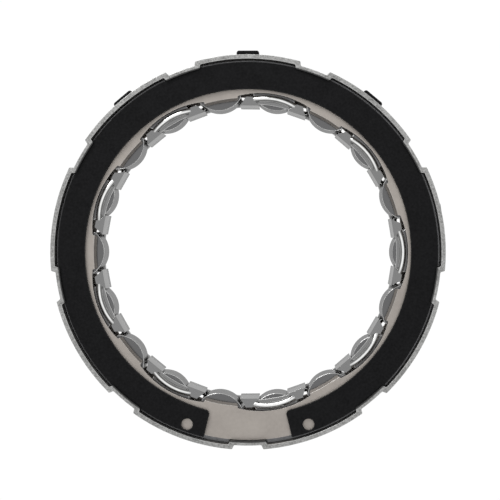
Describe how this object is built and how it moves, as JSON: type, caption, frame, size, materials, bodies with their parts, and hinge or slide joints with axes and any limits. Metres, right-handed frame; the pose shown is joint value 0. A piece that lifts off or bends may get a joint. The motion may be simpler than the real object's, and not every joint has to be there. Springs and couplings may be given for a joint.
{
  "type": "sprag clutch",
  "caption": "One-way sprag clutch with a lugged outer drum, end plates, open snap rings and a polished serpentine cage of wide sprags.",
  "frame": {"origin": "on the clutch axis, halfway along the outer drum", "axes": "+Z along the clutch axis out of the front face, +Y towards the middle of a lug, with the front snap ring's opening at -Y"},
  "size_m": [0.123, 0.1231, 0.0282],
  "materials": {
    "drum_steel": "satin",
    "race_steel": "ground",
    "plate_steel": "tumbled",
    "black_oxide": "matt",
    "cage_stainless": "polished",
    "sprag_steel": "ground",
    "spring_steel": "bright"
  },
  "bodies": {
    "race_unit": {"outer_shell": "drum_steel", "outer_race": "race_steel", "front_snap_ring": "black_oxide", "rear_snap_ring": "black_oxide", "thrust_ring": "black_oxide"},
    "cage_unit": {"sprag_cage": "cage_stainless", "front_end_plate": "plate_steel", "rear_end_plate": "plate_steel", "front_garter_spring": "spring_steel", "rear_garter_spring": "spring_steel"},
    "sprag_01_body": {"sprag_01": "sprag_steel"},
    "sprag_02_body": {"sprag_02": "sprag_steel"},
    "sprag_03_body": {"sprag_03": "sprag_steel"},
    "sprag_04_body": {"sprag_04": "sprag_steel"},
    "sprag_05_body": {"sprag_05": "sprag_steel"},
    "sprag_06_body": {"sprag_06": "sprag_steel"},
    "sprag_07_body": {"sprag_07": "sprag_steel"},
    "sprag_08_body": {"sprag_08": "sprag_steel"},
    "sprag_09_body": {"sprag_09": "sprag_steel"},
    "sprag_10_body": {"sprag_10": "sprag_steel"},
    "sprag_11_body": {"sprag_11": "sprag_steel"},
    "sprag_12_body": {"sprag_12": "sprag_steel"},
    "sprag_13_body": {"sprag_13": "sprag_steel"},
    "sprag_14_body": {"sprag_14": "sprag_steel"},
    "sprag_15_body": {"sprag_15": "sprag_steel"},
    "sprag_16_body": {"sprag_16": "sprag_steel"},
    "sprag_17_body": {"sprag_17": "sprag_steel"},
    "sprag_18_body": {"sprag_18": "sprag_steel"}
  },
  "joints": [
    {"name": "cage_turn", "type": "hinge", "parent": "race_unit", "child": "cage_unit", "pos_m": [0, 0, 0], "axis": [0, 0, 1], "continuous": true},
    {"name": "sprag_01_rock", "type": "hinge", "parent": "cage_unit", "child": "sprag_01_body", "pos_m": [0.04637, 0.0018, 0], "axis": [0, 0, 1], "range_deg": [0, 5], "stiffness_Nm_per_rad": 0.02, "springref_deg": -5.73},
    {"name": "sprag_02_rock", "type": "hinge", "parent": "cage_unit", "child": "sprag_02_body", "pos_m": [0.04295, 0.01755, 0], "axis": [0, 0, 1], "range_deg": [0, 5], "stiffness_Nm_per_rad": 0.02, "springref_deg": -5.73},
    {"name": "sprag_03_rock", "type": "hinge", "parent": "cage_unit", "child": "sprag_03_body", "pos_m": [0.03436, 0.03118, 0], "axis": [0, 0, 1], "range_deg": [0, 5], "stiffness_Nm_per_rad": 0.02, "springref_deg": -5.73},
    {"name": "sprag_04_rock", "type": "hinge", "parent": "cage_unit", "child": "sprag_04_body", "pos_m": [0.02162, 0.04105, 0], "axis": [0, 0, 1], "range_deg": [0, 5], "stiffness_Nm_per_rad": 0.02, "springref_deg": -5.73},
    {"name": "sprag_05_rock", "type": "hinge", "parent": "cage_unit", "child": "sprag_05_body", "pos_m": [0.00628, 0.04597, 0], "axis": [0, 0, 1], "range_deg": [0, 5], "stiffness_Nm_per_rad": 0.02, "springref_deg": -5.73},
    {"name": "sprag_06_rock", "type": "hinge", "parent": "cage_unit", "child": "sprag_06_body", "pos_m": [-0.00982, 0.04535, 0], "axis": [0, 0, 1], "range_deg": [0, 5], "stiffness_Nm_per_rad": 0.02, "springref_deg": -5.73},
    {"name": "sprag_07_rock", "type": "hinge", "parent": "cage_unit", "child": "sprag_07_body", "pos_m": [-0.02474, 0.03925, 0], "axis": [0, 0, 1], "range_deg": [0, 5], "stiffness_Nm_per_rad": 0.02, "springref_deg": -5.73},
    {"name": "sprag_08_rock", "type": "hinge", "parent": "cage_unit", "child": "sprag_08_body", "pos_m": [-0.03667, 0.02842, 0], "axis": [0, 0, 1], "range_deg": [0, 5], "stiffness_Nm_per_rad": 0.02, "springref_deg": -5.73},
    {"name": "sprag_09_rock", "type": "hinge", "parent": "cage_unit", "child": "sprag_09_body", "pos_m": [-0.04418, 0.01417, 0], "axis": [0, 0, 1], "range_deg": [0, 5], "stiffness_Nm_per_rad": 0.02, "springref_deg": -5.73},
    {"name": "sprag_10_rock", "type": "hinge", "parent": "cage_unit", "child": "sprag_10_body", "pos_m": [-0.04637, -0.0018, 0], "axis": [0, 0, 1], "range_deg": [0, 5], "stiffness_Nm_per_rad": 0.02, "springref_deg": -5.73},
    {"name": "sprag_11_rock", "type": "hinge", "parent": "cage_unit", "child": "sprag_11_body", "pos_m": [-0.04295, -0.01755, 0], "axis": [0, 0, 1], "range_deg": [0, 5], "stiffness_Nm_per_rad": 0.02, "springref_deg": -5.73},
    {"name": "sprag_12_rock", "type": "hinge", "parent": "cage_unit", "child": "sprag_12_body", "pos_m": [-0.03436, -0.03118, 0], "axis": [0, 0, 1], "range_deg": [0, 5], "stiffness_Nm_per_rad": 0.02, "springref_deg": -5.73},
    {"name": "sprag_13_rock", "type": "hinge", "parent": "cage_unit", "child": "sprag_13_body", "pos_m": [-0.02162, -0.04105, 0], "axis": [0, 0, 1], "range_deg": [0, 5], "stiffness_Nm_per_rad": 0.02, "springref_deg": -5.73},
    {"name": "sprag_14_rock", "type": "hinge", "parent": "cage_unit", "child": "sprag_14_body", "pos_m": [-0.00628, -0.04597, 0], "axis": [0, 0, 1], "range_deg": [0, 5], "stiffness_Nm_per_rad": 0.02, "springref_deg": -5.73},
    {"name": "sprag_15_rock", "type": "hinge", "parent": "cage_unit", "child": "sprag_15_body", "pos_m": [0.00982, -0.04535, 0], "axis": [0, 0, 1], "range_deg": [0, 5], "stiffness_Nm_per_rad": 0.02, "springref_deg": -5.73},
    {"name": "sprag_16_rock", "type": "hinge", "parent": "cage_unit", "child": "sprag_16_body", "pos_m": [0.02474, -0.03925, 0], "axis": [0, 0, 1], "range_deg": [0, 5], "stiffness_Nm_per_rad": 0.02, "springref_deg": -5.73},
    {"name": "sprag_17_rock", "type": "hinge", "parent": "cage_unit", "child": "sprag_17_body", "pos_m": [0.03667, -0.02842, 0], "axis": [0, 0, 1], "range_deg": [0, 5], "stiffness_Nm_per_rad": 0.02, "springref_deg": -5.73},
    {"name": "sprag_18_rock", "type": "hinge", "parent": "cage_unit", "child": "sprag_18_body", "pos_m": [0.04418, -0.01417, 0], "axis": [0, 0, 1], "range_deg": [0, 5], "stiffness_Nm_per_rad": 0.02, "springref_deg": -5.73}
  ],
  "couplings": [
    {"joint": "sprag_02_rock", "follows": "sprag_01_rock", "ratio": 1},
    {"joint": "sprag_03_rock", "follows": "sprag_01_rock", "ratio": 1},
    {"joint": "sprag_04_rock", "follows": "sprag_01_rock", "ratio": 1},
    {"joint": "sprag_05_rock", "follows": "sprag_01_rock", "ratio": 1},
    {"joint": "sprag_06_rock", "follows": "sprag_01_rock", "ratio": 1},
    {"joint": "sprag_07_rock", "follows": "sprag_01_rock", "ratio": 1},
    {"joint": "sprag_08_rock", "follows": "sprag_01_rock", "ratio": 1},
    {"joint": "sprag_09_rock", "follows": "sprag_01_rock", "ratio": 1},
    {"joint": "sprag_10_rock", "follows": "sprag_01_rock", "ratio": 1},
    {"joint": "sprag_11_rock", "follows": "sprag_01_rock", "ratio": 1},
    {"joint": "sprag_12_rock", "follows": "sprag_01_rock", "ratio": 1},
    {"joint": "sprag_13_rock", "follows": "sprag_01_rock", "ratio": 1},
    {"joint": "sprag_14_rock", "follows": "sprag_01_rock", "ratio": 1},
    {"joint": "sprag_15_rock", "follows": "sprag_01_rock", "ratio": 1},
    {"joint": "sprag_16_rock", "follows": "sprag_01_rock", "ratio": 1},
    {"joint": "sprag_17_rock", "follows": "sprag_01_rock", "ratio": 1},
    {"joint": "sprag_18_rock", "follows": "sprag_01_rock", "ratio": 1}
  ]
}
